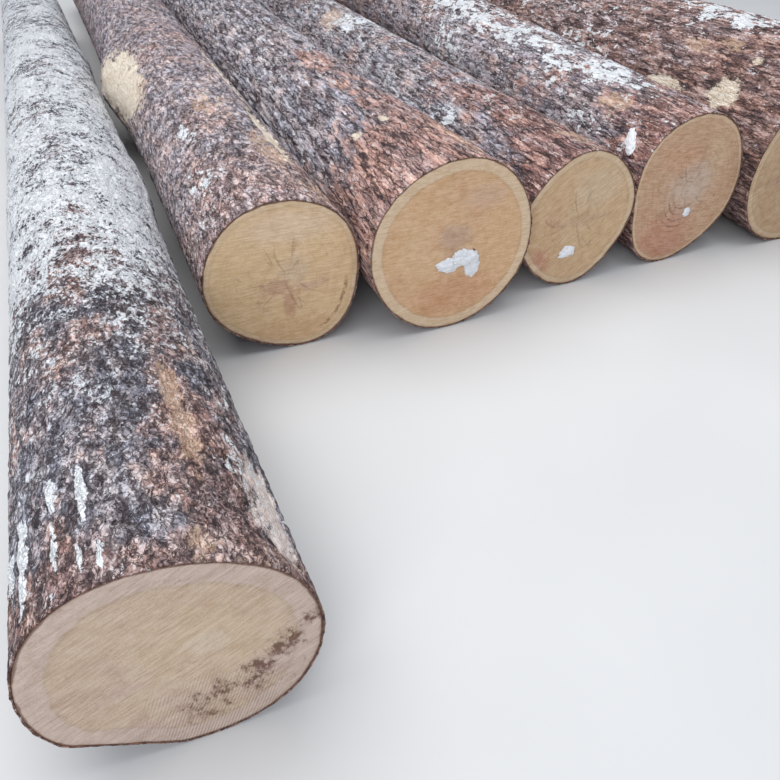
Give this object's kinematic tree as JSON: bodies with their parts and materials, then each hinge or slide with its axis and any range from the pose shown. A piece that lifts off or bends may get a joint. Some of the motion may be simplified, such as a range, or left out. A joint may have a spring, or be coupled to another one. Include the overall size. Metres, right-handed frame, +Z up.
{
  "type": "stack of logs",
  "caption": "Single-layer row of barked softwood sawlogs lying side by side, tapered stems with flat sawn ends.",
  "frame": {"origin": "centre of the bounding box's bottom face, on the ground under the middle of the row", "axes": "+X across the row to the right as seen from the butt ends, +Y along the logs away from the butt ends, +Z up"},
  "size_m": [3.6816, 7.4065, 0.7593],
  "materials": {
    "bark": "rough flaky bark",
    "sawn_wood": "chainsawn end grain",
    "snow": "frozen snow"
  },
  "bodies": {
    "root": {"log_1": "bark", "log_2": "bark", "log_3": "bark", "log_4": "bark", "log_5": "bark", "log_6": "bark"}
  },
  "joints": []
}
